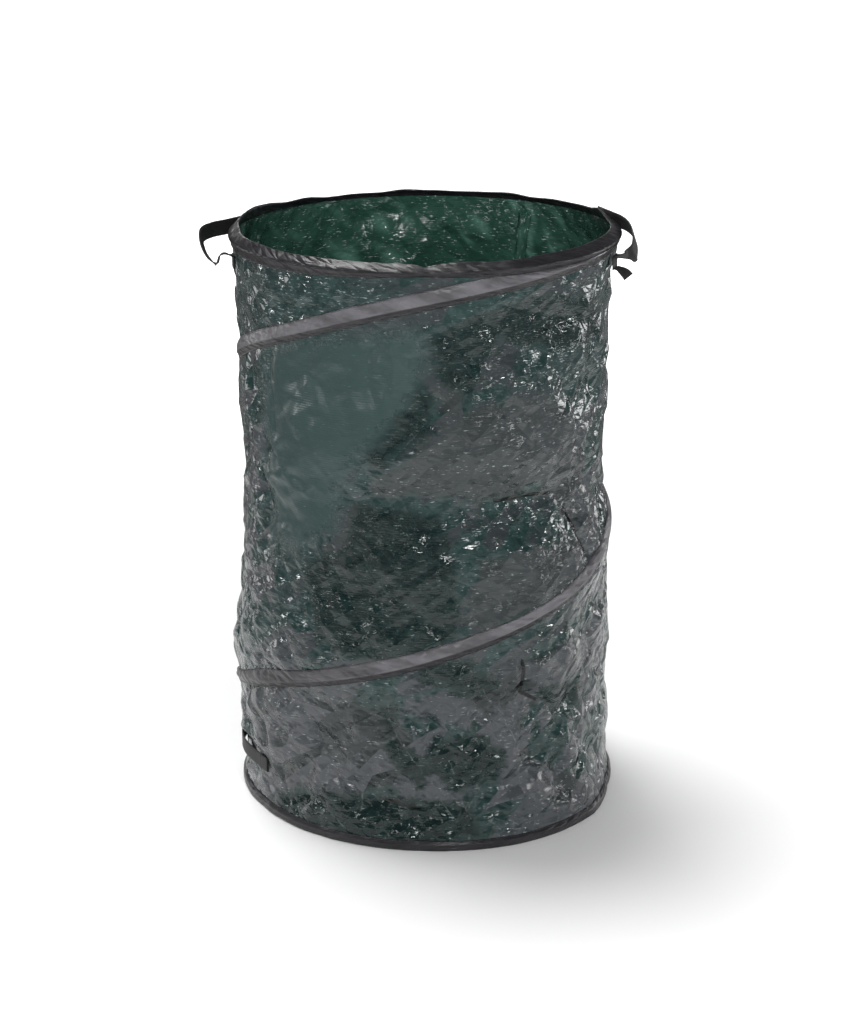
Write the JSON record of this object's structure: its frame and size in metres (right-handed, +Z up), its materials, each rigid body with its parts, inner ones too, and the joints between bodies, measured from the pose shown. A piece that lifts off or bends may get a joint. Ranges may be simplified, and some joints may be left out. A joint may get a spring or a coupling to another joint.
{
  "type": "pop up leaf bag",
  "caption": "Round garden leaf bag of woven fabric, held open by a coiled spring wire under tape, with loop handles at the rim and a grab handle low on the side. It folds flat.",
  "frame": {"origin": "on the bag's vertical axis, in the underside of its fabric floor", "axes": "+Z up along the bag's axis, -Y towards the pictured front, +X to the right of it"},
  "size_m": [0.5558, 0.5008, 0.757],
  "materials": {
    "woven_fabric": "glossy coated weave",
    "binding_tape": "satin woven tape",
    "webbing": "matte ribbed webbing",
    "spring_steel": "bare drawn wire",
    "sleeve_metal": "crimped"
  },
  "bodies": {
    "base": {"base_panel": "woven_fabric", "base_binding": "binding_tape", "base_ferrule": "sleeve_metal", "wall_panel": "woven_fabric", "side_seam_tape": "binding_tape", "spring_coil": "spring_steel", "spiral_binding": "binding_tape"},
    "rim": {"rim_binding": "binding_tape", "rim_ferrule": "sleeve_metal", "left_handle_front_end": "webbing", "left_handle_rear_end": "webbing", "right_handle_front_end": "webbing", "right_handle_rear_end": "webbing"},
    "left_handle": {"left_handle": "webbing"},
    "right_handle": {"right_handle": "webbing"},
    "right_tail": {"right_handle_tail": "webbing"},
    "lower_handle_ends": {"lower_handle_front_end": "webbing", "lower_handle_rear_end": "webbing"},
    "lower_handle": {"lower_handle": "webbing"}
  },
  "joints": [
    {"name": "collapse", "type": "slide", "parent": "base", "child": "rim", "axis": [0, 0, 1], "range_m": [-0.66, 0], "stiffness_N_per_m": 40, "springref_m": 0.08, "deforming": ["wall_panel", "spring_coil", "spiral_binding", "side_seam_tape"]},
    {"name": "left_handle_swing", "type": "hinge", "parent": "rim", "child": "left_handle", "pos_m": [-0.23899, 0.02065, 0.7324], "axis": [0.0576, 0.9914, 0.1178], "range_deg": [-70, 100], "deforming": ["left_handle"]},
    {"name": "right_handle_swing", "type": "hinge", "parent": "rim", "child": "right_handle", "pos_m": [0.23655, 0.00266, 0.7374], "axis": [0.0179, -0.9959, -0.0882], "range_deg": [-60, 100], "deforming": ["right_handle"]},
    {"name": "right_tail_flap", "type": "hinge", "parent": "rim", "child": "right_tail", "pos_m": [0.23858, -0.08449, 0.7149], "axis": [-0.3338, -0.9426, 0], "range_deg": [-60, 10]},
    {"name": "lower_handle_ride", "type": "slide", "parent": "base", "child": "lower_handle_ends", "axis": [0, 0, 1], "range_m": [-0.03, 0]},
    {"name": "lower_handle_swing", "type": "hinge", "parent": "lower_handle_ends", "child": "lower_handle", "pos_m": [-0.23192, -0.0493, 0.0595], "axis": [-0.2079, 0.9781, 0], "range_deg": [-45, 45], "deforming": ["lower_handle"]}
  ],
  "couplings": [
    {"joint": "lower_handle_ride", "follows": "collapse", "ratio": 0.045}
  ]
}
